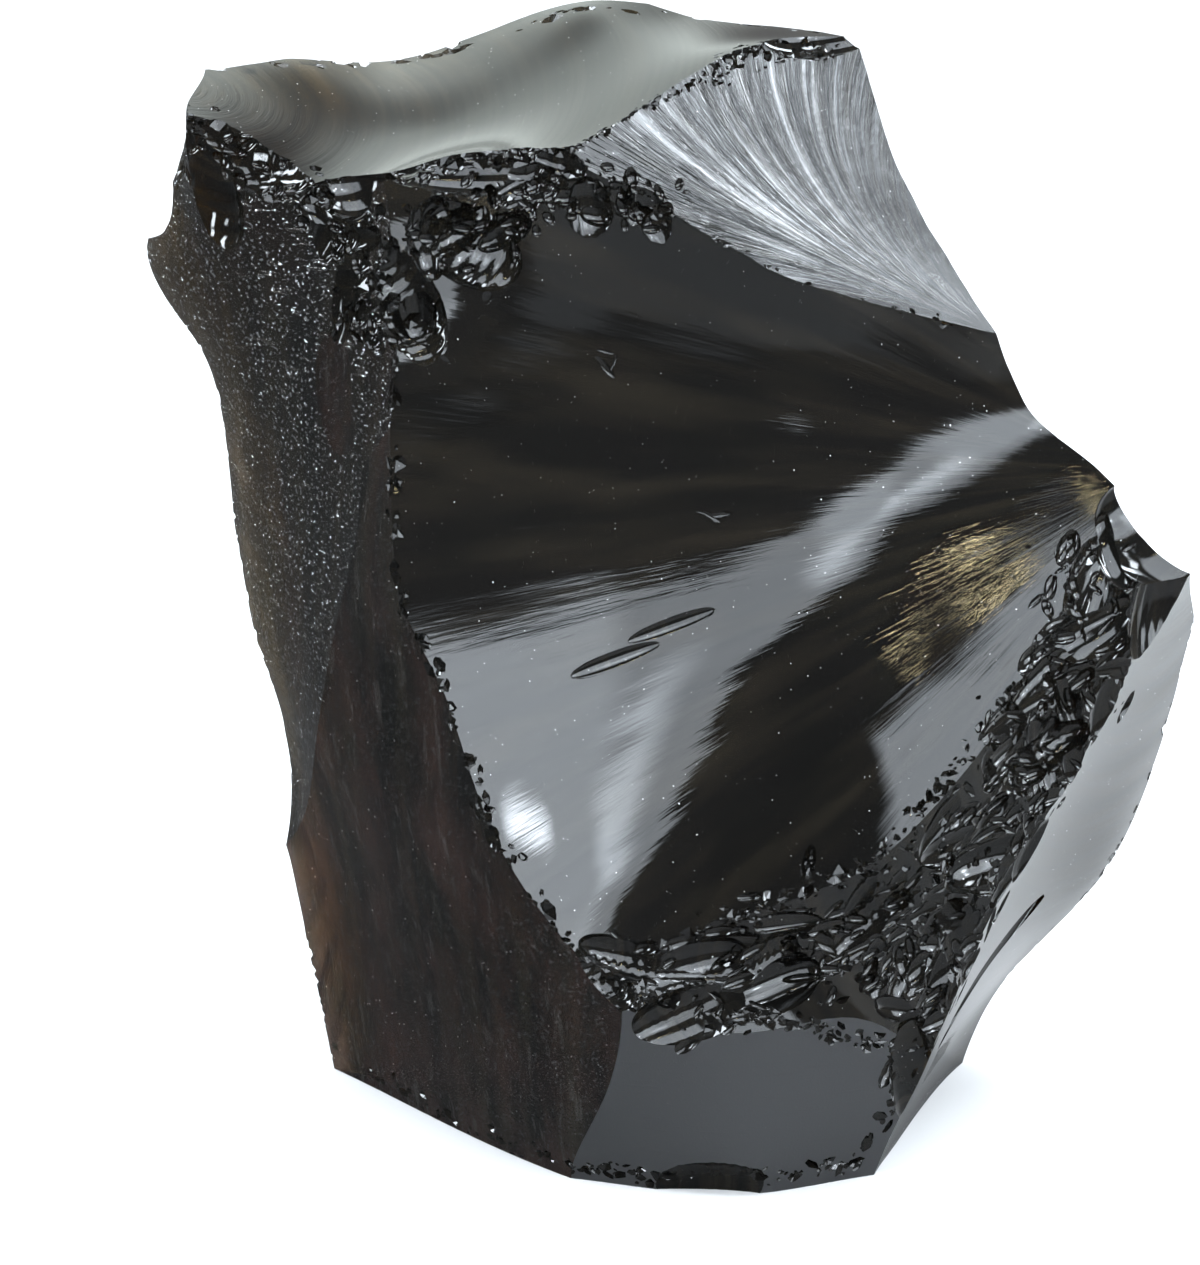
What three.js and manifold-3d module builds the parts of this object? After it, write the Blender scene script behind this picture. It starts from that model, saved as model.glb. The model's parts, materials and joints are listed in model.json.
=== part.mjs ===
// A hand-sized chunk of black volcanic glass, one solid, standing on its broken flat base.
// Millimetres, +X right, +Y to the back, +Z up. The origin is the middle of the base.
//
// Volcanic glass has no grain, so it breaks in smooth hollow shells. The chunk is what is left of a
// larger block once each break has taken its piece away: first the large faces, then the smaller
// spalls that came off the corners and the rim.
import * as THREE from "three";
import { mergeVertices } from "three/addons/utils/BufferGeometryUtils.js";
import Module from "manifold-3d";

const wasm = await Module();
wasm.setup();

// Driving dimensions.
const BLOCK = new THREE.Vector3(190, 110, 170); // the block before it was broken
const SLAB = 300; // width of the slab that a break takes away
const SLAB_THICK = 150;
const SLAB_STEPS = 44; // how finely a broken face is rounded
const BALL_STEPS = 16; // how finely a spall is rounded, around and from end to end
const BALL_RINGS = 12;
const WELD = 0.0001; // corners closer than this are one corner
const FLARE = 60; // radius at which a break curls out again beyond its own points

// Points that the breaks pass through: corners where they meet, points along their ridges, and low
// points of the hollow faces. Heights are above the base.
const point = {
  // thin back edge on the left
  topLeftBack: [-67, 20, 152],
  cornerLow: [-71, 14, 138],
  horn: [-76, 17, 126],
  leftShoulder: [-70, 15.5, 114],
  leftWaist: [-63.5, 14, 84],
  leftNarrow: [-60.5, 13, 67],
  leftLow: [-56.5, 14, 52],
  leftFoot: [-55, 12, 19],
  baseLeft: [-50, 10, 2],
  // rim of the top dish
  topLeftFront: [-66, -8, 148],
  lipLeft: [-47, -14, 140],
  lip: [-30, -18, 145.5],
  crest: [-14.5, -16.7, 146],
  topEdgeLow: [-3, -9, 151],
  topEdge: [12, 1, 158],
  topRight: [28, 9.5, 158.1],
  rearHump: [4, 33, 158],
  rearPeak: [-12, 34, 159],
  rearRim: [-39, 36, 151],
  rearLeft: [-55, 28, 152.4],
  dishLow: [-30, 8, 145],
  // edge between the pitted face and the brown face
  bandHigh: [-47, -16, 120],
  bandMiddle: [-47, -17, 103],
  bandLow: [-50, -12, 61],
  bandFoot: [-55, 8, 38],
  // ridge down the left of the shell
  ridgeHigh: [-40.8, -24, 131],
  ridgeTop: [-38.8, -29.2, 120],
  ridgeMiddle: [-37, -33.9, 85.8],
  ridgeLow: [-31, -35.4, 72.6],
  ridgeBelow: [-23, -42.5, 51.8],
  ridgeFoot: [-6, -47.8, 31.4],
  // ridge between the shell and the striped face, and the notch at its right end
  browLeft: [5.2, -12, 133.9],
  browMiddle: [19.5, -8.3, 125.7],
  browRight: [34.2, -2.4, 120.5],
  notchTop: [48.6, 2.3, 116.1],
  rightWaist: [34, 5.5, 139.6],
  notchDeep: [54.7, 3.1, 103.3],
  notchBottom: [63.8, -0.5, 96.4],
  // hollow of the shell, from the top down to its heel
  shellHighLeft: [-25.8, -21.2, 128.1],
  shellHigh: [-6.2, -13.8, 124.5],
  shellHighRight: [19.7, -8, 116],
  shellLeft: [-25.9, -23.7, 107.9],
  shellMiddle: [-1.9, -15.2, 103],
  shellRight: [19.7, -10.7, 102],
  shellEnd: [38.8, -2.3, 104.5],
  floorLeft: [-25.9, -27.9, 88.6],
  floorMiddle: [-6.1, -20, 85.1],
  floorRight: [15.4, -15, 86.8],
  floorEnd: [32.9, -7.2, 93.7],
  foldLeft: [-23.1, -32.4, 70.8],
  foldMiddle: [-3.3, -24.5, 70.1],
  foldRight: [13.9, -19.8, 74.7],
  foldHigh: [28.4, -14.1, 83.6],
  foldEnd: [43.1, -5.8, 93.4],
  heelLeft: [-14.6, -35.5, 55.6],
  heelMiddle: [-0.5, -29.8, 58.3],
  heelRight: [13.8, -26, 64.6],
  heelHigh: [25.3, -21.3, 73.6],
  flankLeft: [-6.2, -38.5, 44.7],
  flankMiddle: [8, -35.2, 49.6],
  flankRight: [19.4, -31.5, 57.3],
  flankHigh: [31, -23.2, 71.2],
  flankEnd: [45.7, -12.5, 84.7],
  flankTop: [56.3, -4.1, 93],
  stripFoot: [17.7, -40.2, 46.7],
  stripLow: [30.6, -34.2, 58.1],
  stripMiddle: [40.9, -24.5, 70.1],
  stripHigh: [51.3, -15.3, 80.9],
  stripTop: [60.5, -6.9, 89.2],
  // rim of the crushed band
  rimHigh: [56.8, -19.7, 76.7],
  rimUpper: [47.9, -29.2, 66.2],
  rimMiddle: [28.9, -42.1, 49],
  rimLow: [5, -42.3, 39.4],
  // right face
  shoulder: [74, -6, 84],
  right: [79, 4, 72.5],
  browFoot: [68, -18, 75],
  cheek: [46, -30, 36],
  chin: [38, -36, 18.5],
  rightUpper: [75, 9, 51.5],
  rightLow: [67, 13, 29.5],
  rightFoot: [53, 13, 13.5],
  // foot
  chestLow: [19, -45, 26.5],
  footLeft: [-13, -37, 2],
  footMiddle: [11, -44, 3],
  footRight: [27, -37, 2],
  // back
  spineTop: [2, 38, 158],
  spine: [4, 45, 90],
  spineFoot: [0, 36, 0],
  backEdge: [62, 22, 60],
  backHollow: [-32, 25, 100],
  backHollowRight: [30, 22, 112],
  backHollowLow: [34, 28, 38],
  thinHigh: [-64.5, 11.5, 112],
  thinMiddle: [-58.5, 10.5, 84],
  thinLow: [-51.5, 10.5, 55],
  // lower spall of the back
  seamLeft: [-46, 16, 50],
  seamMiddle: [-20, 30, 66],
  seamRight: [8, 42, 60],
  seamFoot: [20, 32, 12],
  seamDeep: [-14, 24, 34],
  seamBase: [-24, 18, 0],
  // where a break has left the chunk
  brownLeft: [-78, 0, 120],
  brownTop: [-60, -22, 148],
  pittedBelow: [-62, -6, 10],
  crushedAbove: [62, -28, 92],
  crushedBelow: [24, -54, 4],
};

// Each break: the way the chip left, and the points it passes through.
const breaks = {
  top: { facing: [0, 0, 1], through: ["topLeftFront", "topLeftBack", "rearLeft", "rearRim",
    "rearPeak", "rearHump", "topRight", "topEdge", "topEdgeLow", "crest", "lip", "lipLeft", "dishLow"] },
  striped: { facing: [0.36, -0.82, 0.45], through: ["crest", "topRight", "notchTop",
    "browLeft", "browMiddle", "browRight"] },
  shell: { facing: [0.3, -0.85, 0.3], through: ["ridgeHigh", "ridgeTop", "ridgeMiddle",
    "ridgeLow", "ridgeBelow", "ridgeFoot", "crest", "browLeft", "browMiddle", "browRight",
    "notchTop", "notchDeep", "notchBottom", "rimHigh", "rimUpper", "rimMiddle", "rimLow",
    "shellHighLeft", "shellHigh", "shellHighRight", "shellLeft", "shellMiddle", "shellRight",
    "shellEnd", "floorLeft", "floorMiddle", "floorRight", "floorEnd", "foldLeft", "foldMiddle",
    "foldRight", "foldHigh", "foldEnd", "heelLeft", "heelMiddle", "heelRight", "heelHigh",
    "flankLeft", "flankMiddle", "flankRight", "flankHigh", "flankEnd", "flankTop", "stripFoot",
    "stripLow", "stripMiddle", "stripHigh", "stripTop"] },
  pitted: { facing: [-0.87, -0.5, 0], through: ["topLeftFront", "topLeftBack", "cornerLow", "horn",
    "leftShoulder", "leftWaist", "leftNarrow", "leftLow", "lipLeft", "bandHigh", "bandMiddle",
    "bandLow", "bandFoot", "pittedBelow"] },
  brown: { facing: [-0.75, -0.66, 0], through: ["bandHigh", "bandMiddle", "bandLow", "bandFoot",
    "ridgeHigh", "ridgeTop", "ridgeMiddle", "ridgeLow", "ridgeBelow", "ridgeFoot", "leftFoot",
    "footLeft", "baseLeft", "brownLeft", "brownTop"] },
  chest: { facing: [0, -1, 0], through: ["ridgeFoot", "chestLow", "chin", "footLeft", "footMiddle",
    "footRight"] },
  right: { facing: [0.8, -0.6, 0], through: ["browFoot", "cheek", "chin", "rightLow", "right",
    "rightFoot", "rightUpper"] },
  crushed: { facing: [0.4, -0.8, -0.4], upward: [0.7, 0.37, 0.45], through: ["browFoot", "rimHigh",
    "rimUpper", "rimMiddle", "cheek", "chin", "rimLow", "ridgeFoot", "chestLow",
    "crushedAbove", "crushedBelow"] },
  backLeft: { facing: [-0.3, 0.95, 0], through: ["topLeftBack", "rearLeft", "rearRim", "horn", "leftShoulder",
    "leftWaist", "leftNarrow", "leftLow", "leftFoot", "baseLeft", "spineTop", "spine",
    "spineFoot", "backHollow", "thinHigh", "thinMiddle", "thinLow",
    "cornerLow"] },
  backRight: { facing: [0.75, 0.6, 0.2], through: ["rearHump", "spine", "topRight", "rightWaist", "notchTop",
    "notchDeep", "notchBottom", "shoulder", "right", "backEdge", "backHollowRight"] },
  backLow: { facing: [0.6, 0.7, -0.4], through: ["spine", "spineFoot", "backEdge", "right",
    "rightUpper", "rightLow", "rightFoot", "backHollowLow"] },
  backSpall: { facing: [-0.15, 0.95, -0.25], through: ["seamLeft", "seamMiddle", "seamRight",
    "seamFoot", "seamDeep", "seamBase"] },
};

// Spalls, each a shallow scoop: the middle of the scar, the way it faces, the way its length runs,
// and its length, breadth and depth.
const spalls = [
  // top left corner and the notch beside the horn
  { at: [-64, -4, 135], facing: [-0.7, -0.63, 0.1], along: [0.2, 0, -1], size: [19, 12, 3] },
  { at: [-75.5, 16, 133], facing: [-1, 0, 0.25], along: [0, 1, 0], size: [19, 12, 5] },
  { at: [-57, -8, 143], facing: [-0.3, -0.7, 0.65], along: [1, -0.4, -0.2], size: [20, 9, 3] },
  { at: [-43.5, -12, 139], facing: [0, -0.6, 0.8], along: [1, 0, 0], size: [11, 10, 3] },
  { at: [-45.5, -17, 127], facing: [-0.5, -0.8, 0.1], along: [0.1, 0, 1], size: [20, 6, 1.5] },
  // ribbed fans under the lip
  { at: [-28, -19, 133], facing: [0.35, -0.9, 0.35], along: [1, 0, -0.6], size: [15, 10, 1.4] },
  { at: [-36.5, -23, 125], facing: [0.2, -0.9, 0.4], along: [0.35, 0, -1], size: [16, 9, 1.4] },
  { at: [-24, -17, 143], facing: [0, -0.85, 0.5], along: [1, 0, 0], size: [26, 7, 2] },
  // corners of the rim and of the right end
  { at: [23, 7, 158], facing: [0.2, -0.5, 0.85], along: [1, 0.5, 0], size: [18, 7, 2] },
  { at: [72, -5, 87], facing: [0, -0.8, 0.6], along: [0.8, -0.2, -0.6], size: [17, 14, 2] },
  { at: [73, -12, 76], facing: [0.4, -0.85, 0.3], along: [-0.1, -0.2, -1], size: [19, 13, 3] },
  // ridge beside the shell
  { at: [-8, -47, 33], facing: [0, -0.9, 0.4], along: [0.7, 0, -1], size: [12, 7, 2] },
  // broken foot
  { at: [4, -43, 2], facing: [0, -0.8, -0.5], along: [1, 0, 0.1], size: [22, 9, 1.6] },
  { at: [35, -35, 15], facing: [0.7, -0.7, 0], along: [-0.3, 0, 1], size: [18, 7, 1.6] },
];

// The crushed band: the line its flake scars follow, and their number and size.
const BAND_LINE = [[63, -10, 86], [59, -21, 73], [53, -29, 60], [42, -37, 48], [30, -42, 40],
  [14, -45, 35], [-2, -47, 33]];
const BAND_SCARS = 12;
const BAND_SCAR = [17, 9, 2.6];
const BAND_STEP = [3.2, 0, -3.2]; // from the line to the middle of every other scar
const BAND_FACING = [0.35, -0.85, 0.1]; // the way the scars face, and how they turn to either side
const BAND_TURN = [0.27, 0, -0.22];

// Solves a square set of linear equations, each row ending in its right-hand side.
function solve(rows) {
  const count = rows.length;
  for (let pivot = 0; pivot < count; pivot++) {
    const best = rows.slice(pivot).reduce((a, b) => (Math.abs(b[pivot]) > Math.abs(a[pivot]) ? b : a));
    rows.splice(rows.indexOf(best), 1);
    rows.splice(pivot, 0, best);
    for (const row of rows) {
      if (row === best) continue;
      const factor = row[pivot] / best[pivot];
      row.forEach((_, column) => { row[column] -= factor * best[column]; });
    }
  }
  return rows.map((row, index) => row[count] / row[index]);
}

// Stiffness kernel of a thin springy sheet.
const spring = (squared) => (squared > 0 ? 0.5 * squared * Math.log(squared) : 0);

// Height of the smoothest sheet through some points, given in the frame of a break.
function sheet(points) {
  const lever = (x, y) => points.map((p) => spring((x - p.x) ** 2 + (y - p.y) ** 2));
  const rows = points.map((p) => [...lever(p.x, p.y), 1, p.x, p.y, p.z]);
  rows.push([...points.map(() => 1), 0, 0, 0, 0]);
  rows.push([...points.map((p) => p.x), 0, 0, 0, 0]);
  rows.push([...points.map((p) => p.y), 0, 0, 0, 0]);
  const weights = solve(rows);
  return (x, y) => [...lever(x, y), 1, x, y].reduce((sum, value, i) => sum + value * weights[i], 0);
}

// A closed geometry as a solid that can be cut.
function solid(geometry) {
  geometry.deleteAttribute("normal");
  geometry.deleteAttribute("uv");
  const merged = mergeVertices(geometry, WELD);
  return new wasm.Manifold(new wasm.Mesh({
    numProp: 3,
    vertProperties: new Float32Array(merged.attributes.position.array),
    triVerts: new Uint32Array(merged.index.array),
  }));
}

// The piece that one break takes away: a slab whose inner side is the sheet through its points, and
// curls outward past them.
function chip({ facing, upward = [0, 1, 0.1], through }) {
  const outward = new THREE.Vector3(...facing).normalize();
  const points = through.map((name) => new THREE.Vector3(...point[name]));
  const place = new THREE.Matrix4().lookAt(outward, new THREE.Vector3(), new THREE.Vector3(...upward));
  place.setPosition(new THREE.Box3().setFromPoints(points).getCenter(new THREE.Vector3()));
  const back = place.clone().invert();
  points.forEach((p) => p.applyMatrix4(back));
  const height = sheet(points);
  const area = new THREE.Box2().setFromPoints(points.map((p) => new THREE.Vector2(p.x, p.y)));
  const slab = new THREE.BoxGeometry(SLAB, SLAB, SLAB_THICK, SLAB_STEPS, SLAB_STEPS, 1);
  slab.translate(0, 0, SLAB_THICK / 2);
  const position = slab.attributes.position;
  for (let i = 0; i < position.count; i++) {
    const here = new THREE.Vector2(position.getX(i), position.getY(i));
    const curl = area.distanceToPoint(here) ** 2 / (2 * FLARE);
    position.setZ(i, position.getZ(i) + height(here.x, here.y) + curl);
  }
  return solid(slab.applyMatrix4(place));
}

// A shallow scoop: a flattened ball whose middle sits its own depth above the surface, so that it is
// cut there to a known share of its full width.
const SCAR_SHARE = Math.sqrt(1 - 0.5 ** 2);
function scoop({ at, facing, along, size }) {
  const [length, breadth, depth] = size;
  const outward = new THREE.Vector3(...facing).normalize();
  const place = new THREE.Matrix4().lookAt(outward, new THREE.Vector3(), new THREE.Vector3(...along));
  place.setPosition(outward.clone().multiplyScalar(depth).add(new THREE.Vector3(...at)));
  const ball = new THREE.SphereGeometry(1, BALL_STEPS, BALL_RINGS);
  ball.scale(breadth / 2 / SCAR_SHARE, length / 2 / SCAR_SHARE, 2 * depth);
  return solid(ball.applyMatrix4(place));
}

const block = new THREE.BoxGeometry(BLOCK.x, BLOCK.y, BLOCK.z).translate(0, 0, BLOCK.z / 2);
let stone = solid(block);
for (const each of Object.values(breaks)) {
  stone = stone.subtract(chip(each));
}
for (const each of spalls) {
  stone = stone.subtract(scoop(each));
}
const band = new THREE.CatmullRomCurve3(BAND_LINE.map((p) => new THREE.Vector3(...p)));
for (let i = 0; i < BAND_SCARS; i++) {
  const share = (i + 0.5) / BAND_SCARS;
  const side = i % 2 === 0 ? 1 : -1;
  const at = band.getPointAt(share).addScaledVector(new THREE.Vector3(...BAND_STEP), side);
  const facing = new THREE.Vector3(...BAND_FACING).addScaledVector(new THREE.Vector3(...BAND_TURN), side);
  const along = band.getTangentAt(share).toArray();
  stone = stone.subtract(scoop({ at: at.toArray(), facing: facing.toArray(), along, size: BAND_SCAR }));
}

// Back to a geometry, set down on the middle of its base.
const mesh = stone.getMesh();
const shape = new THREE.BufferGeometry();
shape.setAttribute("position", new THREE.BufferAttribute(mesh.vertProperties, 3));
shape.setIndex(new THREE.BufferAttribute(mesh.triVerts, 1));
shape.computeBoundingBox();
const box = shape.boundingBox;
const middle = box.getCenter(new THREE.Vector3());
shape.translate(-middle.x, -middle.y, -box.min.z);
shape.computeVertexNormals();

const glass = new THREE.MeshStandardMaterial({ color: 0x1d1c1b, roughness: 0.08, metalness: 0 });
const obsidian = new THREE.Mesh(shape, glass);
obsidian.name = "obsidian_chunk";

const group = new THREE.Group();
group.add(obsidian);
export default group;
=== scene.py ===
import json
import math
import random

import bmesh
import bpy
import numpy as np
from mathutils import Matrix, Quaternion, Vector
from mathutils.bvhtree import BVHTree

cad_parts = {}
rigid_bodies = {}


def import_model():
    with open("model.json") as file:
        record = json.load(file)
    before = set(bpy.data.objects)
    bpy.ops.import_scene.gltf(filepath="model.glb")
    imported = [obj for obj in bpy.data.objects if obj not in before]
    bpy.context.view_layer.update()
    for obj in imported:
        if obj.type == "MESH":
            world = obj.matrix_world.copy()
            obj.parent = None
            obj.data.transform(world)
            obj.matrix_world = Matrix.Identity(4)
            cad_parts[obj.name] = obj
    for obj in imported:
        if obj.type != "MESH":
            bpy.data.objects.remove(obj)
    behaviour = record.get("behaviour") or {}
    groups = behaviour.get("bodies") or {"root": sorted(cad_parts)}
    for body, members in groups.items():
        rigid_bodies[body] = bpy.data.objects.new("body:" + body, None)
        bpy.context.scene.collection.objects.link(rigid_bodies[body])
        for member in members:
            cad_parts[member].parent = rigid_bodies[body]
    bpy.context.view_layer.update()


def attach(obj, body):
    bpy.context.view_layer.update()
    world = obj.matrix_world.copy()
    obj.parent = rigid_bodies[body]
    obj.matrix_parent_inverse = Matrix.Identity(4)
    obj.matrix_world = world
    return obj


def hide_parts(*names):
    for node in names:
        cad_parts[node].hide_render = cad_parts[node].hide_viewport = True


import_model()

# The large breaks. A lump of volcanic glass is what is left of a bigger block once each blow has
# taken a piece away along a smooth hollow shell. Sizes are millimetres above the base until the
# chunk is finished, with x to the right and y to the back.
MM = 0.001
BLOCK = (190, 110, 170)
point = {
    # thin back edge on the left
    "top left back": (-67, 20, 152),
    "corner low": (-71, 14, 138),
    "horn": (-76, 17, 126),
    "left shoulder": (-70, 15.5, 114),
    "left waist": (-63.5, 14, 84),
    "left narrow": (-60.5, 13, 67),
    "left low": (-56.5, 14, 52),
    "left foot": (-55, 12, 19),
    "base left": (-50, 10, 2),
    # rim of the top dish
    "top left front": (-66, -8, 148),
    "lip left": (-47, -14, 140),
    "lip": (-30, -18, 145.5),
    "crest": (-14.5, -16.7, 146),
    "top edge low": (-3, -9, 151),
    "top edge": (12, 1, 158),
    "top right": (28, 9.5, 158.1),
    "rear hump": (4, 33, 158),
    "rear peak": (-12, 34, 159),
    "rear rim": (-39, 36, 151),
    "rear left": (-55, 28, 152.4),
    "dish low": (-30, 8, 145),
    # edge between the pitted face and the brown face
    "band high": (-47, -16, 120),
    "band middle": (-47, -17, 103),
    "band low": (-50, -12, 61),
    "band foot": (-55, 8, 38),
    # ridge down the left of the shell
    "ridge high": (-40.8, -24, 131),
    "ridge top": (-38.8, -29.2, 120),
    "ridge middle": (-37, -33.9, 85.8),
    "ridge low": (-31, -35.4, 72.6),
    "ridge below": (-23, -42.5, 51.8),
    "ridge foot": (-6, -47.8, 31.4),
    # ridge between the shell and the striped face, and the notch at its right end
    "brow left": (5.2, -12, 133.9),
    "brow middle": (19.5, -8.3, 125.7),
    "brow right": (34.2, -2.4, 120.5),
    "notch top": (48.6, 2.3, 116.1),
    "right waist": (34, 5.5, 139.6),
    "notch deep": (54.7, 3.1, 103.3),
    "notch bottom": (63.8, -0.5, 96.4),
    # hollow of the shell, from the top down to its heel
    "shell high left": (-25.8, -21.2, 128.1),
    "shell high": (-6.2, -13.8, 124.5),
    "shell high right": (19.7, -8, 116),
    "shell left": (-25.9, -23.7, 107.9),
    "shell middle": (-1.9, -15.2, 103),
    "shell right": (19.7, -10.7, 102),
    "shell end": (38.8, -2.3, 104.5),
    "floor left": (-25.9, -27.9, 88.6),
    "floor middle": (-6.1, -20, 85.1),
    "floor right": (15.4, -15, 86.8),
    "floor end": (32.9, -7.2, 93.7),
    "fold left": (-23.1, -32.4, 70.8),
    "fold middle": (-3.3, -24.5, 70.1),
    "fold right": (13.9, -19.8, 74.7),
    "fold high": (28.4, -14.1, 83.6),
    "fold end": (43.1, -5.8, 93.4),
    "heel left": (-14.6, -35.5, 55.6),
    "heel middle": (-0.5, -29.8, 58.3),
    "heel right": (13.8, -26, 64.6),
    "heel high": (25.3, -21.3, 73.6),
    "flank left": (-6.2, -38.5, 44.7),
    "flank middle": (8, -35.2, 49.6),
    "flank right": (19.4, -31.5, 57.3),
    "flank high": (31, -23.2, 71.2),
    "flank end": (45.7, -12.5, 84.7),
    "flank top": (56.3, -4.1, 93),
    "strip foot": (17.7, -40.2, 46.7),
    "strip low": (30.6, -34.2, 58.1),
    "strip middle": (40.9, -24.5, 70.1),
    "strip high": (51.3, -15.3, 80.9),
    "strip top": (60.5, -6.9, 89.2),
    # rim of the crushed band
    "rim high": (56.8, -19.7, 76.7),
    "rim upper": (47.9, -29.2, 66.2),
    "rim middle": (28.9, -42.1, 49),
    "rim low": (5, -42.3, 39.4),
    # right face
    "shoulder": (74, -6, 84),
    "right": (79, 4, 72.5),
    "brow foot": (68, -18, 75),
    "cheek": (46, -30, 36),
    "chin": (38, -36, 18.5),
    "right upper": (75, 9, 51.5),
    "right low": (67, 13, 29.5),
    "right foot": (53, 13, 13.5),
    # foot
    "chest low": (19, -45, 26.5),
    "foot left": (-13, -37, 2),
    "foot middle": (11, -44, 3),
    "foot right": (27, -37, 2),
    # back
    "spine top": (2, 38, 158),
    "spine": (4, 45, 90),
    "spine foot": (0, 36, 0),
    "back edge": (62, 22, 60),
    "back hollow": (-32, 25, 100),
    "back hollow right": (30, 22, 112),
    "back hollow low": (34, 28, 38),
    "thin high": (-64.5, 11.5, 112),
    "thin middle": (-58.5, 10.5, 84),
    "thin low": (-51.5, 10.5, 55),
    # lower spall of the back
    "seam left": (-46, 16, 50),
    "seam middle": (-20, 30, 66),
    "seam right": (8, 42, 60),
    "seam foot": (20, 32, 12),
    "seam deep": (-14, 24, 34),
    "seam base": (-24, 18, 0),
    # where a break has left the chunk
    "brown left": (-78, 0, 120),
    "brown top": (-60, -22, 148),
    "pitted below": (-62, -6, 10),
    "crushed above": (62, -28, 92),
    "crushed below": (24, -54, 4),
}
FLARE = 60  # radius at which a break curls out again past its own points
REACH = 190  # from the middle of a break to the edge of the slab it takes away
MARGIN = 12  # how far the fine part of a slab goes past the points of its break


def place_facing(at, facing, upward):
    """The frame of a break or scar: z out of the stone, y as near to upward as it can be."""
    out = Vector(facing).normalized()
    right = Vector(upward).cross(out).normalized()
    turned = Matrix((right, out.cross(right), out)).transposed().to_4x4()
    turned.translation = Vector(at)
    return turned


def spring(squared):
    """Stiffness kernel of a thin springy sheet."""
    return 0.5 * squared * np.log(np.maximum(squared, 1e-9))


def sheet(through):
    """Height of the smoothest sheet through some points, in the frame of a break."""
    flat, count = through[:, :2], len(through)
    system = np.zeros((count + 3, count + 3))
    system[:count, :count] = spring(((flat[:, None] - flat[None]) ** 2).sum(2))
    system[:count, count] = system[count, :count] = 1
    system[:count, count + 1:] = flat
    system[count + 1:, :count] = flat.T
    weight = np.linalg.solve(system, np.append(through[:, 2], [0, 0, 0]))

    def height(x, y):
        pull = sum(w * spring((x - p[0]) ** 2 + (y - p[1]) ** 2) for w, p in zip(weight, flat))
        return pull + weight[count] + weight[count + 1] * x + weight[count + 2] * y
    return height


def finished(bm, name, collection):
    """A bmesh as an object of a collection."""
    mesh = bpy.data.meshes.new(name)
    bm.to_mesh(mesh)
    bm.free()
    made = bpy.data.objects.new(name, mesh)
    collection.objects.link(made)
    return made


def dress(cutter, sign, flow=None, finish=(0, 0, 0), satin_and_painted_sheen=0, facets=False):
    """Gives a cutter what its cut face keeps: its own normals, smooth or in facets, the two
    directions of its grain (across the streaks, then along them), how satin it is (rougher, and
    painted grey as a painted sheen), and how streaked, pitted and brown it is, each from 0 to 1."""
    mesh = cutter.data
    owners = mesh.polygons if facets else mesh.vertices
    normals = np.empty(len(owners) * 3, np.float32)
    owners.foreach_get("normal", normals)
    corner = np.empty(len(mesh.loops), np.int32)
    mesh.loops.foreach_get("vertex_index", corner)
    whose = np.repeat(np.arange(len(mesh.polygons)), [p.loop_total for p in mesh.polygons])
    carried = normals.reshape(-1, 3)[whose if facets else corner]
    grain = np.full((len(corner), 3), satin_and_painted_sheen, np.float32)
    grain[:, :2] = 0 if flow is None else np.asarray(flow, np.float32)[corner]
    for name, values in (("glass normal", sign * carried), ("flow", grain),
                         ("finish", np.tile(np.float32(finish), (len(corner), 1)))):
        layer = mesh.attributes.new(name, "FLOAT_VECTOR", "CORNER")
        layer.data.foreach_set("vector", values.ravel())


def grid_lines(low, high, step):
    """Where the lines of a slab's grid lie: close together over the break, and wide past it."""
    fine = np.linspace(low - MARGIN, high + MARGIN, round((high - low + 2 * MARGIN) / step))
    wide = np.geomspace(2 * step, REACH, 10)
    return np.concatenate([fine[0] - wide[::-1], fine, fine[-1] + wide])


def slab(name, facing, through, step, upward=(0, 1, 0.1), ripple=None, grain=None,
         finish=(0, 0, 0), satin_and_painted_sheen=0):
    """The piece that one break takes away: a fine grid bent to the sheet, and thickened outward."""
    corners = [Vector(point[key]) for key in through]
    low = Vector(min(c[i] for c in corners) for i in range(3))
    high = Vector(max(c[i] for c in corners) for i in range(3))
    place = place_facing((low + high) / 2, facing, upward)
    local = np.array([place.inverted() @ c for c in corners])
    height = sheet(local)
    near, far = local[:, :2].min(0), local[:, :2].max(0)
    lines = [grid_lines(near[i], far[i], step) for i in (0, 1)]
    cells = [len(along) - 1 for along in lines]
    bm = bmesh.new()
    bmesh.ops.create_grid(bm, x_segments=cells[0], y_segments=cells[1], size=1)
    made = finished(bm, name, breaks_collection)
    mesh = made.data
    co = np.empty(len(mesh.vertices) * 3)
    mesh.vertices.foreach_get("co", co)
    co = co.reshape(-1, 3)
    for i in (0, 1):
        co[:, i] = lines[i][np.rint((co[:, i] + 1) / 2 * cells[i]).astype(int)]
    x, y = co[:, 0], co[:, 1]
    past = np.maximum(0, np.maximum(near - co[:, :2], co[:, :2] - far))
    co[:, 2] = height(x, y) + (past ** 2).sum(1) / (2 * FLARE)
    if grain:
        across, along = grain(place, x, y)
    else:
        across, along = y, x
    if ripple:
        co[:, 2] += ripple(across, along)
    mesh.vertices.foreach_set("co", co.ravel())
    bm = bmesh.new()
    bm.from_mesh(mesh)
    lid = bmesh.ops.extrude_face_region(bm, geom=bm.faces[:], use_keep_orig=True)["geom"]
    lifted = [v for v in lid if isinstance(v, bmesh.types.BMVert)]
    bmesh.ops.translate(bm, verts=lifted, vec=(0, 0, REACH))
    bmesh.ops.recalc_face_normals(bm, faces=bm.faces[:])
    bmesh.ops.transform(bm, matrix=place, verts=bm.verts[:])
    bm.to_mesh(mesh)
    bm.free()
    mesh.shade_smooth()
    flow = np.stack([across, along], 1)
    dress(made, -1, np.concatenate([flow, flow[:len(lifted)]]), finish, satin_and_painted_sheen)
    return made


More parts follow.
